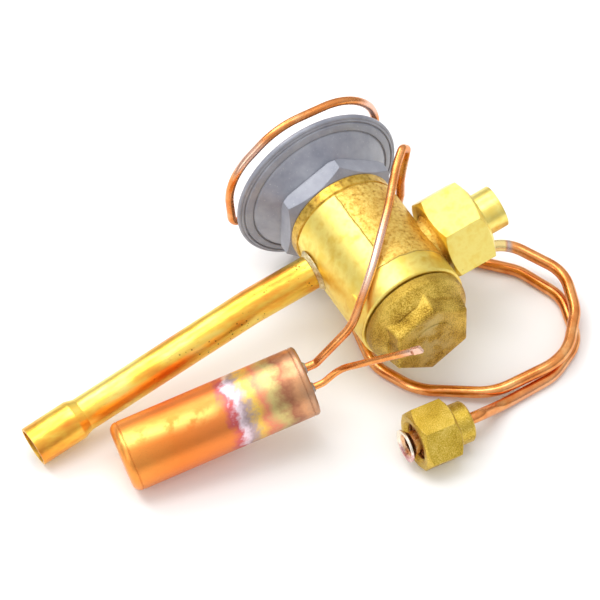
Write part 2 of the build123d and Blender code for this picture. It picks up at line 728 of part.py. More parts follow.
# Capillary tube: from the dome, round the head, over a hairpin and down to the bulb
BULB_START = on_floor(*BULB_NOSE)
BULB_LIE = Vector(*BULB_WAY).normalized()
BULB_END = BULB_START + BULB_LIE * BULB_LENGTH
BULB = Plane(origin=BULB_START, x_dir=Vector(0, 0, 1).cross(BULB_LIE), z_dir=BULB_LIE)
CAPILLARY_MOUTH = BULB_END + BULB.x_dir * MOUTH_ASIDE + BULB.y_dir * CAPILLARY_MOUTH_RISE
STUB_MOUTH = BULB_END - BULB.x_dir * MOUTH_ASIDE - BULB.y_dir * STUB_MOUTH_DROP
CAPILLARY_RUN = (
    in_valve(0, 0, CAPILLARY_START),
    in_valve(0, 0, 36.5),
    in_valve(-12.0, 11.0, 31.0),
    in_valve(-24.5, 1.5, 28.0),
    in_valve(-22.5, -16.0, 28.0),
    in_valve(-5.0, -25.5, 28.0),
    in_valve(18.5, -22.0, 28.0),
    in_valve(22.5, -10.0, 28.0),
    in_valve(20.0, 6.0, 28.0),
    in_valve(13.8, 22.8, 27.5),
    in_valve(14.2, 21.3, 14.0),
    in_valve(16.8, 1.0, 8.0),
    on_floor(15.8, 6.5, 35.0),
    on_floor(16.5, 5.0, 49.0),
    on_floor(14.5, 4.0, 51.5),
    on_floor(10.6, 0.5, 50.2),
    on_floor(3.5, -7.5, 45.2),
    on_floor(-8.7, -20.0, 40.0),
    on_floor(-18.6, -27.4, 31.6),
    CAPILLARY_MOUTH + BULB_LIE * 3.6,
    CAPILLARY_MOUTH,
)
CAPILLARY_BENDS = (3, 6, 4, 18, 20, 16, 16, 14, 7, 5, 8, 12, 1.7, 1.7, 20, 30, 30, 10, 2.5)
with BuildPart() as capillary_tube:
    bent_tube(CAPILLARY_RUN, CAPILLARY_BENDS, CAPILLARY_RADIUS)
save(capillary_tube, "capillary_tube")

# Solder round the capillary at the dome
with BuildPart() as dome_solder:
    turn([
        (CAPILLARY_RADIUS, DOME_TOP),
        (CAPILLARY_RADIUS + 1.5, DOME_TOP),
        (CAPILLARY_RADIUS + 0.4, DOME_TOP + 1.2),
        (CAPILLARY_RADIUS, DOME_TOP + 1.2),
    ])
save(dome_solder, "dome_solder")

# Sensing bulb
with BuildPart() as sensing_bulb:
    with BuildSketch(BULB):
        Circle(BULB_RADIUS)
    extrude(amount=BULB_LENGTH)
    nose_edge, end_edge = sensing_bulb.edges().filter_by(GeomType.CIRCLE).sort_by(Axis(BULB_START, BULB_LIE))
    fillet(nose_edge, BULB_NOSE_ROUND)
    fillet(end_edge, BULB_END_ROUND)
    for place in (BULB_NOSE_ROUND, BULB_LENGTH - BULB_LINE_INSET):
        with BuildSketch(BULB.offset(place)):
            Circle(BULB_RADIUS)
            Circle(BULB_RADIUS - BULB_LINE_DEPTH, mode=Mode.SUBTRACT)
        extrude(amount=2 * BULB_LINE_DEPTH, mode=Mode.SUBTRACT)
save(sensing_bulb, "sensing_bulb")

# Charging stub, bent up and pinched shut
STUB_RUN = (
    STUB_MOUTH,
    STUB_MOUTH + BULB_LIE * 3.5,
    on_floor(-24.5, -31.2, 21.4),
    on_floor(-11.3, -45.7, 37.0),
)
STUB_BENDS = (5, 8)
PINCH_WAY = (STUB_RUN[-1] - STUB_RUN[-2]).normalized()
with BuildPart() as charging_stub:
    bent_tube(STUB_RUN, STUB_BENDS, STUB_RADIUS)
    with BuildSketch(Plane(origin=STUB_RUN[-1], x_dir=(0, 0, 1), z_dir=PINCH_WAY)):
        Rectangle(2.2 * STUB_RADIUS, PINCH_THICKNESS)
    extrude(amount=PINCH_LENGTH)
save(charging_stub, "charging_stub")

# Solder at the two tube entries of the bulb
for mouth, tube_radius, name in (
    (CAPILLARY_MOUTH, CAPILLARY_RADIUS, "capillary_solder"),
    (STUB_MOUTH, STUB_RADIUS, "stub_solder"),
):
    with BuildPart() as solder:
        with BuildSketch(Plane(origin=mouth, z_dir=BULB_LIE)):
            Circle(tube_radius + 0.9)
        with BuildSketch(Plane(origin=mouth, z_dir=BULB_LIE).offset(1.0)):
            Circle(tube_radius + 0.2)
        loft()
        with BuildSketch(Plane(origin=mouth, z_dir=BULB_LIE)):
            Circle(tube_radius)
        extrude(amount=1.0, mode=Mode.SUBTRACT)
    save(solder, name)

# Equalizer tube: two turns on the floor from the body to the flare shank
FLARE_LIE = Vector(*FLARE_NUT_WAY).normalized()
FLARE_CENTRE = on_floor(*FLARE_NUT_CENTRE)
FLARE = Plane(origin=FLARE_CENTRE, x_dir=Vector(0, 0, 1), z_dir=FLARE_LIE)
FLARE_SECTION = Plane(origin=FLARE_CENTRE, x_dir=FLARE_LIE, z_dir=FLARE_LIE.cross(Vector(0, 0, 1)))
FLARE_AXIS = Axis(FLARE_CENTRE, FLARE_LIE)
EQUALIZER_RUN = (
    EQUALIZER_ROOT + EQUALIZER_WAY * EQUALIZER_SOCKET_FLOOR,
    EQUALIZER_ROOT + EQUALIZER_WAY * 24.5,
    on_floor(29.0, -8.0, 12.5),
    on_floor(40.5, -9.5, 10.3),
    on_floor(50.0, -23.5, 7.3),
    on_floor(46.5, -35.0, 5.4),
    on_floor(36.0, -47.5, 5.8),
    on_floor(14.0, -46.5, 3.4),
    on_floor(-2.5, -34.5, 1.7),
    on_floor(-8.5, -22.0, 1.7),
    on_floor(-5.0, -3.0, 1.7),
    on_floor(8.0, 7.5, 1.7),
    on_floor(27.5, 1.5, 1.7),
    on_floor(42.0, -13.5, 1.7),
    on_floor(47.5, -27.0, 1.7),
    on_floor(43.0, -42.0, 1.7),
    on_floor(31.5, -48.5, 1.7),
    on_floor(14.5, -50.0, 1.7),
    FLARE_CENTRE + FLARE_LIE * 12.0,
    FLARE_CENTRE + FLARE_LIE * FLARE_BORE_END,
)
EQUALIZER_BENDS = (5, 6, 10, 10, 12, 14, 16, 18, 14, 12, 10, 14, 12, 12, 12, 14, 16, 4)
with BuildPart() as equalizer_tube:
    bent_tube(EQUALIZER_RUN, EQUALIZER_BENDS, EQUALIZER_RADIUS, EQUALIZER_BORE_RADIUS)
save(equalizer_tube, "equalizer_tube")

# Braze at the equalizer socket
with BuildPart() as equalizer_braze:
    with BuildSketch(EQUALIZER_PORT.offset(BODY_RADIUS - 1.0)):
        Circle(EQUALIZER_RADIUS + 0.9)
    with BuildSketch(EQUALIZER_PORT.offset(BODY_RADIUS + 0.9)):
        Circle(EQUALIZER_RADIUS + 0.15)
    loft()
    turn(ring(0, BODY_RADIUS, BODY_FOOT, BODY_TOP), mode=Mode.SUBTRACT)
    with BuildSketch(EQUALIZER_PORT):
        Circle(EQUALIZER_RADIUS)
    extrude(amount=2 * BODY_RADIUS, mode=Mode.SUBTRACT)
save(equalizer_braze, "equalizer_braze")

# Flare shank: flared at its free end, the equalizer tube brazed into the other
with BuildPart() as equalizer_flare:
    turn([
        (FLARE_FACE, FLARE_LIP_RADIUS),
        (FLARE_FACE + 0.5, FLARE_LIP_RADIUS),
        (FLARE_FACE + 0.5 + FLARE_LIP_RADIUS - FLARE_SHANK_RADIUS, FLARE_SHANK_RADIUS),
        (FLARE_SHANK_END - 0.6, FLARE_SHANK_RADIUS),
        (FLARE_SHANK_END, EQUALIZER_RADIUS + 0.6),
        (FLARE_SHANK_END, EQUALIZER_RADIUS),
        (FLARE_BORE_END, EQUALIZER_RADIUS),
        (FLARE_BORE_END, EQUALIZER_BORE_RADIUS),
        (FLARE_BORE_END - 1, FLARE_BORE_RADIUS),
        (FLARE_FACE + 1.2, FLARE_BORE_RADIUS),
        (FLARE_FACE, FLARE_LIP_RADIUS - 0.8),
    ], FLARE_SECTION, FLARE_AXIS)
save(equalizer_flare, "equalizer_flare")

# Flare nut
with BuildPart() as equalizer_nut:
    hexagon(FLARE, FLARE_NUT_MOUTH, FLARE_NUT_HEX_END - FLARE_NUT_MOUTH, FLARE_NUT_FLATS, 30)
    with BuildSketch(FLARE_SECTION) as nut_envelope:
        with BuildLine():
            Polyline(
                (FLARE_NUT_MOUTH, 0),
                (FLARE_NUT_MOUTH, 7.3),
                (FLARE_NUT_MOUTH + 1.3, 9.2),
                (FLARE_NUT_HEX_END - 1.3, 9.2),
                (FLARE_NUT_HEX_END, 7.3),
                (FLARE_NUT_HEX_END, 0),
                close=True,
            )
        make_face()
    revolve(axis=FLARE_AXIS, mode=Mode.INTERSECT)
    turn([
        (FLARE_NUT_HEX_END, 0),
        (FLARE_NUT_HEX_END, FLARE_NUT_NECK_RADIUS),
        (FLARE_NUT_END - 0.5, FLARE_NUT_NECK_RADIUS),
        (FLARE_NUT_END, FLARE_NUT_NECK_RADIUS - 0.5),
        (FLARE_NUT_END, 0),
    ], FLARE_SECTION, FLARE_AXIS)
    turn([
        (FLARE_NUT_MOUTH, 0),
        (FLARE_NUT_MOUTH, FLARE_NUT_THREAD_RADIUS + 0.9),
        (FLARE_NUT_MOUTH + 0.9, FLARE_NUT_THREAD_RADIUS),
        (FLARE_NUT_SHOULDER, FLARE_NUT_THREAD_RADIUS),
        (FLARE_NUT_SHOULDER + FLARE_NUT_THREAD_RADIUS - FLARE_NUT_HOLE_RADIUS, FLARE_NUT_HOLE_RADIUS),
        (FLARE_NUT_END, FLARE_NUT_HOLE_RADIUS),
        (FLARE_NUT_END, 0),
    ], FLARE_SECTION, FLARE_AXIS, Mode.SUBTRACT)
save(equalizer_nut, "equalizer_nut")
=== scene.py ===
import json
from math import cos, sin, pi

import bpy
import bmesh
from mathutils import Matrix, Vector, noise

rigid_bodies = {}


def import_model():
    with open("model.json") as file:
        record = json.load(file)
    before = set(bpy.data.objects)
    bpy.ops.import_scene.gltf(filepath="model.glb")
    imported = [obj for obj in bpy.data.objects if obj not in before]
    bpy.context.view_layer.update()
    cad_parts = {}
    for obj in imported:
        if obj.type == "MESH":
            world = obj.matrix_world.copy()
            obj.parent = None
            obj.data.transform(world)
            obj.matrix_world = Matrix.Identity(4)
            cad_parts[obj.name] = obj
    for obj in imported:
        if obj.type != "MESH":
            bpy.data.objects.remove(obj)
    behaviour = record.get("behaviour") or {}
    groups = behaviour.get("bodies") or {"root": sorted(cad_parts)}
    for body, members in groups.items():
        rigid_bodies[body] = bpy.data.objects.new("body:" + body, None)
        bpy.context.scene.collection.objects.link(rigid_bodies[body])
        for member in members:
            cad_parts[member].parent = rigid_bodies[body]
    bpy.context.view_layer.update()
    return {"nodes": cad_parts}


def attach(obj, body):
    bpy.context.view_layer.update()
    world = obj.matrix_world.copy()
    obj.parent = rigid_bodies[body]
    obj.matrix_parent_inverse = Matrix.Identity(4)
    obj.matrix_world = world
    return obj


for thing in list(bpy.data.objects):
    bpy.data.objects.remove(thing)

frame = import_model()
nodes = frame["nodes"]
scene = bpy.context.scene
MM = 0.001

# The valve's centre stands this far from the frame's origin, in millimetres
SHIFT_X = 25.67
SHIFT_Y = 13.04


def point(x, y, z):
    """A place in the row frame from millimetres measured on the floor below the valve's centre."""
    return Vector((x + SHIFT_X, y + SHIFT_Y, z)) * MM


def unit(x, y, z):
    return Vector((x, y, z)).normalized()


# Where things stand, and the directions that their finishes follow
VALVE = point(0, 0, 24.9)
INLET_WAY = unit(0.98442, 0, 0.17582)
HEAD_WAY = unit(0.00546, 0.99952, -0.03058)
BULB_NOSE = point(-83.74, -20.73, 9.14)
BULB_WAY = unit(0.97167, -0.14673, 0.18526)
NUT_CENTRE = point(-6.97, -53.22, 7.94)
NUT_WAY = unit(0.99911, -0.04225, 0)
TUBE_BEND = 34.5
INLET_DROP = 11.32
TUBE_START = VALVE - INLET_WAY * TUBE_BEND * MM
TUBE_END = point(-100.9, -3.5, 5.62)
TUBE_WAY = (TUBE_END - TUBE_START).normalized()
INLET = VALVE - HEAD_WAY * INLET_DROP * MM


class Finish:
    """A node material, with short helpers for its procedural parts."""

    def __init__(self, name, colour=(0.8, 0.8, 0.8), metal=0.0, rough=0.4, coat=0.0, coat_rough=0.2):
        self.material = bpy.data.materials.new(name)
        self.material.use_nodes = True
        self.tree = self.material.node_tree
        self.tree.nodes.clear()
        self.out = self.add("ShaderNodeOutputMaterial")
        self.shader = self.add("ShaderNodeBsdfPrincipled")
        self.join(self.shader.outputs[0], self.out.inputs["Surface"])
        self.shader.inputs["Base Color"].default_value = (*colour, 1)
        self.shader.inputs["Metallic"].default_value = metal
        self.shader.inputs["Roughness"].default_value = rough
        self.shader.inputs["Coat Weight"].default_value = coat
        self.shader.inputs["Coat Roughness"].default_value = coat_rough
        self.place = self.add("ShaderNodeTexCoord").outputs["Object"]
        self.material.diffuse_color = (*colour, 1)

    def add(self, kind, **values):
        node = self.tree.nodes.new(kind)
        for key, value in values.items():
            setattr(node, key, value)
        return node

    def join(self, a, b):
        self.tree.links.new(a, b)

    def feed(self, socket, value):
        if isinstance(value, bpy.types.NodeSocket):
            self.join(value, socket)
        elif isinstance(value, (int, float)):
            socket.default_value = value
        elif len(value) == 3 and socket.type == "RGBA":
            socket.default_value = (*value, 1)
        else:
            socket.default_value = value

    def sums(self, kind, a, b=0.0, c=0.0):
        node = self.add("ShaderNodeMath", operation=kind)
        for socket, value in zip(node.inputs, (a, b, c)):
            self.feed(socket, value)
        return node.outputs[0]

    def along(self, origin, way):
        """Millimetres from origin along a direction."""
        shift = self.add("ShaderNodeVectorMath", operation="SUBTRACT")
        self.join(self.place, shift.inputs[0])
        shift.inputs[1].default_value = origin
        dot = self.add("ShaderNodeVectorMath", operation="DOT_PRODUCT")
        self.join(shift.outputs[0], dot.inputs[0])
        dot.inputs[1].default_value = way * 1000
        return dot.outputs["Value"]

    def step(self, value, low, high):
        """0 below low, 1 above high and smooth between."""
        node = self.add("ShaderNodeMapRange", interpolation_type="SMOOTHSTEP", clamp=True)
        self.feed(node.inputs["Value"], value)
        node.inputs["From Min"].default_value = low
        node.inputs["From Max"].default_value = high
        return node.outputs["Result"]

    def hump(self, value, centre, width):
        """1 at centre, 0 from width away."""
        away = self.sums("ABSOLUTE", self.sums("SUBTRACT", value, centre))
        return self.step(away, width, 0)

    def grain(self, size, detail=2.0, rough=0.5, stretch=None):
        """Noise from 0 to 1 whose grains are about size millimetres wide."""
        node = self.add("ShaderNodeTexNoise")
        node.inputs["Scale"].default_value = 1000 / size
        node.inputs["Detail"].default_value = detail
        node.inputs["Roughness"].default_value = rough
        if stretch:
            lay = self.add("ShaderNodeMapping")
            self.join(self.place, lay.inputs["Vector"])
            way, amount = stretch
            lay.inputs["Rotation"].default_value = way.to_track_quat("X", "Z").inverted().to_euler()
            lay.inputs["Scale"].default_value = (1 / amount, 1, 1)
            self.join(lay.outputs[0], node.inputs["Vector"])
        else:
            self.join(self.place, node.inputs["Vector"])
        return node.outputs[0]

    def cells(self, size):
        node = self.add("ShaderNodeTexVoronoi")
        node.inputs["Scale"].default_value = 1000 / size
        self.join(self.place, node.inputs["Vector"])
        return node.outputs["Distance"]

    def shades(self, fac, stops):
        node = self.add("ShaderNodeValToRGB")
        self.feed(node.inputs[0], fac)
        ramp = node.color_ramp
        while len(ramp.elements) < len(stops):
            ramp.elements.new(0.5)
        for element, (place, colour) in zip(ramp.elements, stops):
            element.position = place
            element.color = (*colour, 1)
        return node.outputs[0]

    def mix(self, fac, a, b):
        node = self.add("ShaderNodeMix", data_type="RGBA")
        self.feed(node.inputs["Factor"], fac)
        self.feed(node.inputs["A"], a)
        self.feed(node.inputs["B"], b)
        return node.outputs["Result"]

    def blend(self, fac, low, high):
        """A number from low to high as fac goes from 0 to 1."""
        return self.sums("MULTIPLY_ADD", fac, high - low, low)

    def relief(self, height, depth, normal=None):
        """Bump whose full height is depth millimetres."""
        node = self.add("ShaderNodeBump")
        node.inputs["Distance"].default_value = depth * MM
        self.feed(node.inputs["Height"], height)
        if normal:
            self.join(normal, node.inputs["Normal"])
        return node.outputs[0]

    def soften(self, radius):
        node = self.add("ShaderNodeBevel", samples=4)
        node.inputs["Radius"].default_value = radius * MM
        return node.outputs[0]

    def done(self, colour, rough, normal):
        for name, value in (("Base Color", colour), ("Roughness", rough), ("Normal", normal)):
            if value is not None:
                self.join(value, self.shader.inputs[name])
        return self.material


def body_brass():
    f = Finish("body_brass", (0.90, 0.72, 0.25), 1.0, 0.3)
    across = f.along(VALVE, INLET_WAY)
    length = f.along(VALVE, HEAD_WAY)
    wander = f.grain(3.0, 3)
    edge = f.sums("MULTIPLY_ADD", wander, 0.9, f.sums("ADD", across, 0.9))
    foot = f.sums("MULTIPLY_ADD", wander, 1.6, length)
    forged = f.sums("MULTIPLY", f.step(edge, -0.05, 0.35), f.step(foot, -19.6, -18.9))
    forged = f.sums("MULTIPLY", forged, f.step(length, 7.1, 6.9))
    fine = f.grain(0.45, 3, 0.6)
    broad = f.grain(6.0, 3, 0.6)
    smooth = f.shades(broad, [
        (0.35, (0.88, 0.66, 0.13)), (0.5, (0.93, 0.76, 0.21)), (0.68, (0.80, 0.55, 0.09)),
    ])
    rough = f.shades(f.grain(1.1, 5, 0.65), [
        (0.32, (0.48, 0.24, 0.04)), (0.46, (0.80, 0.52, 0.11)), (0.62, (0.92, 0.70, 0.20)),
    ])
    pits = f.step(f.cells(1.4), 0.13, 0.05)
    pits = f.sums("MULTIPLY", pits, f.step(f.grain(2.2, 2), 0.5, 0.62))
    rough = f.mix(f.sums("MULTIPLY", pits, 0.75), rough, (0.20, 0.11, 0.03))
    colour = f.mix(forged, smooth, rough)
    # Dark lines along the forged edge and round the foot arc: painted shade in the steps there, with a groove
    # bump under them too
    line = f.sums("MULTIPLY", f.hump(edge, 0.15, 0.28), f.step(length, -14.5, -13))
    line = f.sums("MULTIPLY", line, f.step(length, 7.1, 6.8))
    arc = f.sums("MULTIPLY", f.hump(foot, -19.3, 0.35), f.step(across, -6, -3))
    step_shade_lines = f.sums("MAXIMUM", line, arc)
    colour = f.mix(f.sums("MULTIPLY", step_shade_lines, 0.6), colour, (0.36, 0.22, 0.06))
    turned = f.sums("SINE", f.sums("MULTIPLY", length, 2 * pi / 0.28))
    relief = f.relief(turned, 0.003, f.soften(0.3))
    relief = f.relief(f.sums("MULTIPLY", forged, f.grain(0.9, 5, 0.7)), 0.16, relief)
    relief = f.relief(f.sums("MULTIPLY", pits, -1.0), 0.05, relief)
    relief = f.relief(f.sums("MULTIPLY", step_shade_lines, -1.0), 0.12, relief)
    relief = f.relief(fine, 0.008, relief)
    scuff = f.grain(0.5, 3, 0.6, (HEAD_WAY, 0.08))
    gloss = f.sums("MULTIPLY_ADD", scuff, 0.16, f.blend(forged, 0.34, 0.44))
    return f.done(colour, gloss, relief)


def cast_brass(name, dark, mid, light, grain_size, depth, soft, rough):
    f = Finish(name, mid, 1.0, rough)
    sand = f.grain(grain_size, 4, 0.75)
    broad = f.grain(4.5, 2, 0.5)
    fac = f.sums("ADD", f.sums("MULTIPLY", sand, 0.75), f.sums("MULTIPLY", broad, 0.25))
    colour = f.shades(fac, [(0.34, dark), (0.5, mid), (0.64, light)])
    relief = f.relief(sand, depth, f.soften(soft))
    gloss = f.sums("MULTIPLY_ADD", sand, 0.3, rough - 0.15)
    return f.done(colour, gloss, relief)


def cap_brass():
    f = Finish("cap_brass", (0.58, 0.40, 0.09), 1.0, 0.4)
    length = f.along(VALVE, HEAD_WAY)
    sand = f.grain(0.34, 4, 0.8)
    broad = f.grain(5.0, 2, 0.5)
    fac = f.sums("ADD", f.sums("MULTIPLY", sand, 0.7), f.sums("MULTIPLY", broad, 0.3))
    skin = f.shades(fac, [
        (0.38, (0.17, 0.085, 0.012)), (0.48, (0.50, 0.31, 0.04)), (0.58, (0.78, 0.56, 0.12)),
    ])
    centre = f.step(length, -37.6, -38.2)
    middle = f.hump(f.along(VALVE - HEAD_WAY * 0.038, INLET_WAY), 0, 9)
    grey = f.sums("MULTIPLY", f.sums("MULTIPLY", centre, middle), f.step(broad, 0.35, 0.6))
    skin = f.mix(f.sums("MULTIPLY", grey, 0.5), skin, (0.50, 0.43, 0.24))
    rim = f.step(length, -30.9, -29.6)
    skin = f.mix(f.sums("MULTIPLY", rim, 0.45), skin, (0.42, 0.27, 0.05))
    relief = f.relief(sand, 0.16, f.soften(0.55))
    gloss = f.sums("MULTIPLY_ADD", sand, 0.3, 0.27)
    return f.done(skin, gloss, relief)


def nut_brass():
    f = Finish("nut_brass", (0.94, 0.80, 0.32), 1.0, 0.22)
    broad = f.grain(5.0, 3, 0.6)
    scratch = f.grain(0.35, 3, 0.7, (INLET_WAY, 0.07))
    colour = f.shades(broad, [
        (0.3, (0.86, 0.62, 0.10)), (0.5, (0.93, 0.77, 0.22)), (0.7, (0.88, 0.66, 0.14)),
    ])
    nicks = f.sums("MULTIPLY", f.step(f.cells(1.8), 0.10, 0.03), f.step(f.grain(3.0, 2), 0.56, 0.64))
    colour = f.mix(f.sums("MULTIPLY", nicks, 0.8), colour, (0.28, 0.17, 0.05))
    relief = f.relief(scratch, 0.012, f.soften(0.35))
    relief = f.relief(f.sums("MULTIPLY", nicks, -1.0), 0.08, relief)
    gloss = f.sums("MULTIPLY_ADD", scratch, 0.22, 0.22)
    return f.done(colour, gloss, relief)


def inner_brass():
    f = Finish("inner_brass", (0.85, 0.64, 0.24), 1.0, 0.3)
    scratch = f.grain(0.4, 3, 0.6, (HEAD_WAY, 0.06))
    colour = f.shades(f.grain(3.0, 3), [(0.3, (0.78, 0.56, 0.18)), (0.7, (0.93, 0.74, 0.31))])
    return f.done(colour, f.sums("MULTIPLY_ADD", scratch, 0.2, 0.2), f.relief(scratch, 0.012, f.soften(0.12)))


def collar_brass():
    f = Finish("collar_brass", (0.55, 0.32, 0.05), 1.0, 0.36)
    mottle_and_shade = f.grain(1.6, 5, 0.65)
    # The dark brass is partly the collar's own mottled tone and partly painted shade from under the element
    # hex
    colour = f.shades(mottle_and_shade, [
        (0.3, (0.30, 0.15, 0.03)), (0.48, (0.62, 0.38, 0.06)), (0.66, (0.80, 0.56, 0.13)),
    ])
    fine = f.grain(0.35, 3, 0.6)
    return f.done(colour, f.sums("MULTIPLY_ADD", mottle_and_shade, 0.3, 0.22), f.relief(fine, 0.03, f.soften(0.3)))


def element_paint():
    f = Finish("element_paint", (0.26, 0.27, 0.31), 0.12, 0.40, 0.15, 0.3)
    broad = f.grain(7.0, 3, 0.6)
    fine = f.grain(0.5, 3, 0.6)
    colour = f.shades(broad, [
        (0.3, (0.21, 0.22, 0.27)), (0.5, (0.27, 0.28, 0.33)), (0.7, (0.33, 0.34, 0.39)),
    ])
    colour = f.mix(f.step(fine, 0.62, 0.76), colour, (0.44, 0.45, 0.48))
    relief = f.relief(fine, 0.012, f.soften(0.35))
    relief = f.relief(broad, 0.03, relief)
    return f.done(colour, f.sums("MULTIPLY_ADD", fine, 0.2, 0.24), relief)


def tube_copper():
    """Outlet tube: yellowed by heat, orange lower down, with dark specks."""
    f = Finish("tube_copper", (0.93, 0.62, 0.12), 1.0, 0.22)
    far = f.along(TUBE_START, TUBE_WAY)
    cloud = f.grain(9.0, 4, 0.6, (TUBE_WAY, 2.5))
    fac = f.sums("ADD", cloud, f.sums("MULTIPLY", f.sums("SINE", f.sums("MULTIPLY", far, 0.16)), 0.06))
    colour = f.shades(fac, [
        (0.32, (0.80, 0.27, 0.04)), (0.42, (0.90, 0.45, 0.06)),
        (0.50, (0.95, 0.63, 0.10)), (0.66, (0.96, 0.78, 0.22)),
    ])
    streak = f.grain(0.8, 4, 0.65, (TUBE_WAY, 4))
    colour = f.mix(f.sums("MULTIPLY", f.step(streak, 0.56, 0.7), 0.35), colour, (0.70, 0.30, 0.06))
    groups = f.step(f.grain(6.0, 3, 0.7, (TUBE_WAY, 3)), 0.48, 0.55)
    specks = f.sums("MULTIPLY", f.step(f.cells(1.3), 0.26, 0.12), groups)
    front = f.step(f.along(TUBE_START, unit(0.06, -0.9, 0.4)), 1.2, 2.6)
    specks = f.sums("MULTIPLY", specks, front)
    colour = f.mix(f.sums("MULTIPLY", specks, 0.85), colour, (0.10, 0.045, 0.015))
    relief = f.relief(streak, 0.02, f.soften(0.2))
    relief = f.relief(f.sums("MULTIPLY", specks, -1.0), 0.04, relief)
    return f.done(colour, f.sums("MULTIPLY_ADD", streak, 0.26, 0.20), relief)


def bulb_copper():
    """Bulb: orange, then a band of heat tints towards the tubes."""
    f = Finish("bulb_copper", (0.80, 0.30, 0.10), 1.0, 0.34)
    far = f.along(BULB_NOSE, BULB_WAY)
    cloud = f.grain(4.5, 4, 0.62)
    small = f.grain(1.1, 4, 0.7)
    ragged = f.sums("MULTIPLY_ADD", f.sums("SUBTRACT", cloud, 0.5), 9.0, far)
    ragged = f.sums("MULTIPLY_ADD", f.sums("SUBTRACT", small, 0.5), 1.5, ragged)
    fac = f.sums("DIVIDE", ragged, 56.0)
    tint = f.shades(fac, [
        (0.00, (0.86, 0.33, 0.07)), (0.25, (0.84, 0.24, 0.045)), (0.50, (0.80, 0.24, 0.06)),
        (0.545, (0.62, 0.12, 0.13)), (0.575, (0.84, 0.68, 0.74)), (0.61, (0.46, 0.34, 0.36)),
        (0.645, (0.86, 0.56, 0.12)), (0.70, (0.80, 0.27, 0.16)), (0.76, (0.62, 0.50, 0.20)),
        (0.82, (0.40, 0.16, 0.09)), (0.88, (0.68, 0.34, 0.17)), (0.97, (0.42, 0.27, 0.19)),
    ])
    # Painted highlight: a yellow-gold stripe along the upper side of the bulb's nose half
    bulb_highlight_stripe = f.hump(f.along(BULB_NOSE, unit(0.14, 0.90, 0.42)), 2.5, 3.2)
    bulb_highlight_stripe = f.sums("MULTIPLY", f.sums("MULTIPLY", bulb_highlight_stripe, f.step(far, 31, 24)), f.step(cloud, 0.36, 0.55))
    tint = f.mix(f.sums("MULTIPLY", bulb_highlight_stripe, 0.7), tint, (0.97, 0.62, 0.16))
    sandy = f.grain(0.3, 3, 0.75)
    tint = f.mix(f.sums("MULTIPLY", f.step(sandy, 0.56, 0.7), 0.3), tint, (0.40, 0.13, 0.04))
    relief = f.relief(sandy, 0.035, f.soften(0.3))
    relief = f.relief(small, 0.03, relief)
    return f.done(tint, f.sums("MULTIPLY_ADD", small, 0.35, 0.2), relief)


def line_copper(name, base, pale, worn, worn_from, worn_to):
    """Small tubes: drawn copper with a worn or heated stretch between two heights."""
    f = Finish(name, base, 1.0, 0.26)
    rise = f.along(Vector((0, 0, 0)), Vector((0, 0, 1)))
    cloud = f.grain(5.0, 3, 0.6)
    fine = f.grain(0.5, 3, 0.65)
    colour = f.shades(cloud, [(0.3, tuple(c * 0.82 for c in base)), (0.5, base), (0.7, pale)])
    above = f.step(rise, worn_from - 2.5, worn_from + 1.5)
    below = f.step(rise, worn_to + 2.5, worn_to - 1.5)
    stretch = f.sums("MULTIPLY", above, below)
    colour = f.mix(f.sums("MULTIPLY", stretch, f.blend(cloud, 0.5, 1.0)), colour, worn)
    relief = f.relief(fine, 0.018, f.soften(0.1))
    return f.done(colour, f.sums("MULTIPLY_ADD", fine, 0.25, 0.14), relief)


def equalizer_copper():
    """Equalizer tube: pale brass beside the inlet nut, then a grey edge, then copper."""
    f = Finish("equalizer_copper", (0.76, 0.30, 0.09), 1.0, 0.24)
    rise = f.along(Vector((0, 0, 0)), Vector((0, 0, 1)))
    side = f.along(point(0, 0, 0), unit(0.87, -0.493, 0))
    cloud = f.grain(6.0, 3, 0.6)
    fine = f.grain(0.5, 3, 0.65)
    copper = f.shades(cloud, [
        (0.3, (0.66, 0.20, 0.05)), (0.5, (0.78, 0.30, 0.09)), (0.7, (0.88, 0.46, 0.19)),
    ])
    ragged = f.sums("MULTIPLY_ADD", cloud, 3.0, side)
    high = f.step(rise, 8.3, 9.3)
    pale = f.sums("MULTIPLY", high, f.step(ragged, 41.3, 40.3))
    near = f.step(f.along(point(0, -30, 0), Vector((0, 1, 0))), -1, 1)
    high = f.sums("MULTIPLY", high, near)
    pale = f.sums("MULTIPLY", pale, near)
    grey = f.sums("MULTIPLY", high, f.hump(ragged, 41.8, 1.4))
    colour = f.mix(pale, copper, (0.93, 0.72, 0.30))
    colour = f.mix(f.sums("MULTIPLY", grey, 0.85), colour, (0.50, 0.44, 0.43))
    front = f.along(point(0, -49, 0), Vector((0, 1, 0)))
    fade = f.sums("MULTIPLY", f.step(front, 4.5, 1), f.step(rise, 3.4, 2.4))
    colour = f.mix(f.sums("MULTIPLY", fade, 0.35), colour, (0.86, 0.58, 0.40))
    relief = f.relief(fine, 0.018, f.soften(0.1))
    return f.done(colour, f.sums("MULTIPLY_ADD", fine, 0.22, 0.12), relief)


def steel(name, low, high, rough):
    f = Finish(name, high, 1.0, rough)
    fine = f.grain(0.6, 4, 0.65)
    colour = f.shades(fine, [(0.3, low), (0.7, high)])
    return f.done(colour, f.sums("MULTIPLY_ADD", fine, 0.3, rough - 0.1), f.relief(fine, 0.03))


def packing():
    f = Finish("packing", (0.85, 0.85, 0.82), 0.0, 0.6)
    fine = f.grain(0.4, 3)
    colour = f.shades(fine, [(0.3, (0.72, 0.71, 0.68)), (0.7, (0.90, 0.90, 0.88))])
    return f.done(colour, None, f.relief(fine, 0.05))


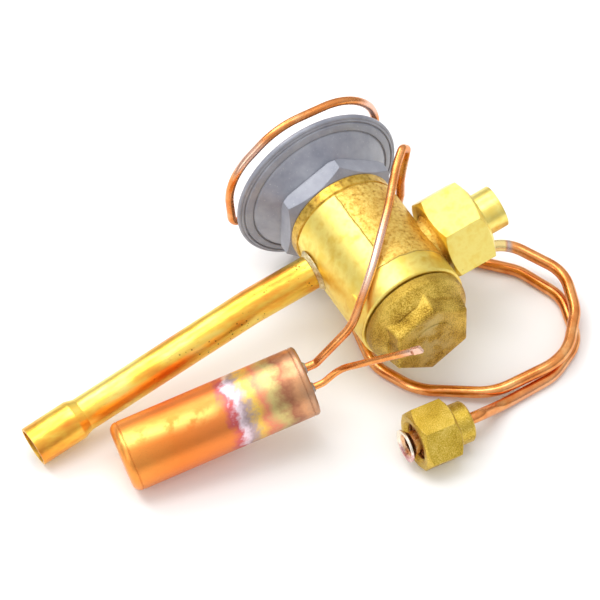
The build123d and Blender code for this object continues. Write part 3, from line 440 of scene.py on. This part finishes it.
def flare_copper():
    """Flare shank: dull copper; its lip inside the mouth carries a painted highlight, pale above and
    purple-pink on its lower side.
    """
    f = Finish("flare_copper", (0.72, 0.42, 0.26), 1.0, 0.28)
    far = f.along(NUT_CENTRE, NUT_WAY)
    cloud = f.grain(1.6, 4, 0.65)
    colour = f.shades(cloud, [
        (0.32, (0.55, 0.24, 0.12)), (0.5, (0.76, 0.42, 0.22)), (0.68, (0.90, 0.66, 0.42)),
    ])
    # Painted highlight on the flare's lip: pale, turning purple-pink on its lower side
    lip_highlight = f.step(f.sums("MULTIPLY_ADD", cloud, 0.5, far), -9.2, -9.7)
    colour = f.mix(lip_highlight, colour, (0.93, 0.86, 0.72))
    low = f.step(f.along(NUT_CENTRE, unit(0.04, 0.5, 0.86)), 0.4, -2.2)
    lip_pink_highlight = f.sums("MULTIPLY", f.sums("MULTIPLY", lip_highlight, low), f.step(cloud, 0.36, 0.5))
    colour = f.mix(f.sums("MULTIPLY", lip_pink_highlight, 0.75), colour, (0.62, 0.22, 0.28))
    fine = f.grain(0.3, 3, 0.6)
    return f.done(colour, f.sums("MULTIPLY_ADD", cloud, 0.3, 0.12), f.relief(fine, 0.02, f.soften(0.12)))


# Thread brass darkened to brown: painted shade for threads sitting inside recesses
def shaded_thread_brass():
    f = Finish("shaded_thread_brass", (0.36, 0.16, 0.06), 1.0, 0.42)
    fine = f.grain(0.5, 4, 0.7)
    colour = f.shades(fine, [
        (0.3, (0.14, 0.055, 0.02)), (0.5, (0.38, 0.18, 0.07)), (0.7, (0.66, 0.42, 0.20)),
    ])
    return f.done(colour, f.sums("MULTIPLY_ADD", fine, 0.3, 0.3), f.relief(fine, 0.03))


finishes = {
    "body": body_brass(),
    "cap": cap_brass(),
    "nut": nut_brass(),
    "flare_nut": cast_brass(
        "flare_nut_brass", (0.28, 0.16, 0.02), (0.64, 0.43, 0.05), (0.86, 0.68, 0.20),
        grain_size=0.30, depth=0.08, soft=0.3, rough=0.38,
    ),
    "inner": inner_brass(),
    "collar": collar_brass(),
    "paint": element_paint(),
    "tube": tube_copper(),
    "bulb": bulb_copper(),
    "capillary": line_copper(
        "capillary_copper", (0.78, 0.28, 0.08), (0.84, 0.40, 0.17),
        worn=(0.84, 0.58, 0.48), worn_from=38.5, worn_to=44.5,
    ),
    "stub": line_copper(
        "stub_copper", (0.86, 0.33, 0.09), (0.92, 0.46, 0.17),
        worn=(0.80, 0.60, 0.52), worn_from=36.5, worn_to=60.0,
    ),
    "equalizer": equalizer_copper(),
    "flare": flare_copper(),
    "braze": cast_brass(
        "braze_metal", (0.50, 0.36, 0.12), (0.74, 0.60, 0.30), (0.90, 0.82, 0.58),
        grain_size=0.8, depth=0.15, soft=0.3, rough=0.34,
    ),
    "solder": steel("solder_metal", (0.26, 0.24, 0.23), (0.62, 0.58, 0.56), 0.38),
    "steel": steel("plain_steel", (0.40, 0.40, 0.41), (0.66, 0.66, 0.67), 0.30),
    "gasket": line_copper(
        "gasket_copper", (0.72, 0.34, 0.14), (0.82, 0.46, 0.22),
        worn=(0.72, 0.34, 0.14), worn_from=90, worn_to=95,
    ),
    "packing": packing(),
    "thread": shaded_thread_brass(),
}

worn_by = {
    "valve_body": "body", "valve_seat": "inner", "valve_pin": "steel", "pin_carrier": "inner",
    "push_rod_1": "steel", "push_rod_2": "steel", "superheat_spring": "steel", "spring_guide": "inner",
    "adjusting_stem": "inner", "bottom_plug": "inner", "stem_packing": "packing", "packing_nut": "inner",
    "cap_gasket": "gasket", "seal_cap": "cap", "inlet_strainer": "steel", "inlet_adapter": "nut",
    "inlet_nut": "nut", "outlet_tube": "tube", "outlet_braze": "braze", "element_collar": "collar",
    "element_hex": "paint", "lower_cup": "paint", "rim_weld": "paint", "diaphragm": "steel",
    "buffer_plate": "inner", "upper_cup": "paint", "capillary_tube": "capillary", "dome_solder": "solder",
    "sensing_bulb": "bulb", "charging_stub": "stub", "capillary_solder": "solder", "stub_solder": "solder",
    "equalizer_tube": "equalizer", "equalizer_braze": "braze", "equalizer_flare": "flare",
    "equalizer_nut": "flare_nut",
}
for name, finish in worn_by.items():
    mesh = nodes[name].data
    mesh.materials.clear()
    mesh.materials.append(finishes[finish])


def piece(name, verts, faces, finish, body):
    mesh = bpy.data.meshes.new(name)
    mesh.from_pydata(verts, [], faces)
    tool = bmesh.new()
    tool.from_mesh(mesh)
    bmesh.ops.recalc_face_normals(tool, faces=tool.faces)
    tool.to_mesh(mesh)
    tool.free()
    for face in mesh.polygons:
        face.use_smooth = True
    mesh.materials.append(finishes[finish])
    thing = bpy.data.objects.new(name, mesh)
    scene.collection.objects.link(thing)
    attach(thing, body)
    return thing


def sides(way):
    """Two directions square to a way."""
    a = way.cross(Vector((0, 0, 1))).normalized()
    return a, way.cross(a)


STEPS_A_TURN = 40
RIDGE_POINTS = 4
BEAD_PARTS = 72
BEAD_SIDES = 10


def helix(name, origin, way, start, end, pitch, root, crest, width, finish, body):
    """A thread ridge round an axis, from start to end in millimetres along it."""
    a, b = sides(way)
    turns = (end - start) / pitch
    count = int(turns * STEPS_A_TURN)
    profile = ((-width, root), (-width * 0.25, crest), (width * 0.25, crest), (width, root))
    verts = []
    faces = []
    for i in range(count + 1):
        turn = 2 * pi * turns * i / count
        fade = min(1, 6 * i / count, 6 * (count - i) / count)
        for shift, radius in profile:
            reach = root + (radius - root) * fade
            place = start + pitch * turn / (2 * pi) + shift
            verts.append(origin + (way * place + (a * cos(turn) + b * sin(turn)) * reach) * MM)
    for i in range(count):
        for k in range(RIDGE_POINTS - 1):
            j = RIDGE_POINTS * i + k
            faces.append((j, j + 1, j + RIDGE_POINTS + 1, j + RIDGE_POINTS))
    return piece(name, verts, faces, finish, body)


def bead(name, origin, way, place, radius, thick, lift, seed, finish, body):
    """An uneven ring of metal run round a tube."""
    a, b = sides(way)
    verts = []
    faces = []
    for i in range(BEAD_PARTS):
        turn = 2 * pi * i / BEAD_PARTS
        out = a * cos(turn) + b * sin(turn)
        broad = noise.noise(out * 2.2 + Vector((seed, 0, 0)))
        small = noise.noise(out * 7 + Vector((0, seed, 0)))
        swell = 1 + 0.35 * broad + 0.15 * small
        for k in range(BEAD_SIDES):
            bend = 2 * pi * k / BEAD_SIDES
            reach = radius + thick * swell * cos(bend)
            level = place + lift * swell * sin(bend)
            verts.append(origin + (out * reach + way * level) * MM)
    for i in range(BEAD_PARTS):
        for k in range(BEAD_SIDES):
            p = i * BEAD_SIDES
            q = (i + 1) % BEAD_PARTS * BEAD_SIDES
            after = (k + 1) % BEAD_SIDES
            faces.append((p + k, p + after, q + after, q + k))
    return piece(name, verts, faces, finish, body)


# Threads that show in the small nut's mouth and in the gap behind the inlet nut, coloured dark brown as
# painted shade in those recesses
helix(
    "flare_nut_thread", NUT_CENTRE, NUT_WAY, start=-6.3, end=-2.4, pitch=0.9,
    root=5.02, crest=4.62, width=0.42, finish="thread", body="flare_nut",
)
helix(
    "inlet_stub_thread", INLET, INLET_WAY, start=16.3, end=22.2, pitch=1.411,
    root=7.92, crest=8.03, width=0.5, finish="thread", body="valve",
)
bead(
    "outlet_braze_bead", VALVE, -INLET_WAY, place=15.1, radius=4.95,
    thick=0.34, lift=0.22, seed=3.1, finish="solder", body="valve",
)

# The scene: pale floor, soft light and camera
def floor_finish():
    f = Finish("floor", (0.97, 0.97, 0.97), 0.0, 0.8)
    f.shader.inputs["Specular IOR Level"].default_value = 0.15
    return f.material


span = 3.0
corners = [(-span, -span, 0), (span, -span, 0), (span, span, 0), (-span, span, 0)]
floor_mesh = bpy.data.meshes.new("floor")
floor_mesh.from_pydata(corners, [], [(0, 1, 2, 3)])
floor_mesh.materials.append(floor_finish())
floor = bpy.data.objects.new("floor", floor_mesh)
scene.collection.objects.link(floor)


LIT = Vector((0.0, 0.0, 0.02))


def lamp(name, place, width, height, power):
    light = bpy.data.lights.new(name, "AREA")
    light.shape = "RECTANGLE"
    light.size = width
    light.size_y = height
    light.energy = power
    thing = bpy.data.objects.new(name, light)
    thing.location = place
    thing.rotation_euler = (LIT - Vector(place)).to_track_quat("-Z", "Y").to_euler()
    scene.collection.objects.link(thing)


lamp("key", (-0.25, 0.75, 0.95), width=0.75, height=0.5, power=5.0)
lamp("top", (-0.15, 0.10, 1.10), width=0.35, height=0.9, power=3.5)
lamp("front_left", (-0.95, -0.35, 0.55), width=0.25, height=0.7, power=1.6)

world = bpy.data.worlds.new("studio")
scene.world = world
world.use_nodes = True
tree = world.node_tree
tree.nodes.clear()
sky = tree.nodes.new("ShaderNodeBackground")
out = tree.nodes.new("ShaderNodeOutputWorld")
tree.links.new(sky.outputs[0], out.inputs[0])
look = tree.nodes.new("ShaderNodeTexCoord")
split = tree.nodes.new("ShaderNodeSeparateXYZ")
tree.links.new(look.outputs["Generated"], split.inputs[0])
ramp = tree.nodes.new("ShaderNodeValToRGB")
tree.links.new(split.outputs["Z"], ramp.inputs[0])
ramp.color_ramp.elements[0].position = 0.0
ramp.color_ramp.elements[0].color = (0.34, 0.34, 0.34, 1)
ramp.color_ramp.elements[1].position = 0.75
ramp.color_ramp.elements[1].color = (1.0, 1.0, 1.0, 1)
tree.links.new(ramp.outputs[0], sky.inputs["Color"])
sky.inputs["Strength"].default_value = 1.0

scene.view_settings.view_transform = "Standard"
view = bpy.data.cameras.new("view")
view.lens = 259.8
view.sensor_width = 36
view.clip_end = 10
camera = bpy.data.objects.new("view", view)
camera.location = (-0.34371, -0.60550, 0.92233)
aim = Vector((0.01174, 0.021315, 0))
camera.rotation_euler = (aim - camera.location).to_track_quat("-Z", "Y").to_euler()
scene.collection.objects.link(camera)
scene.camera = camera

bpy.context.view_layer.update()
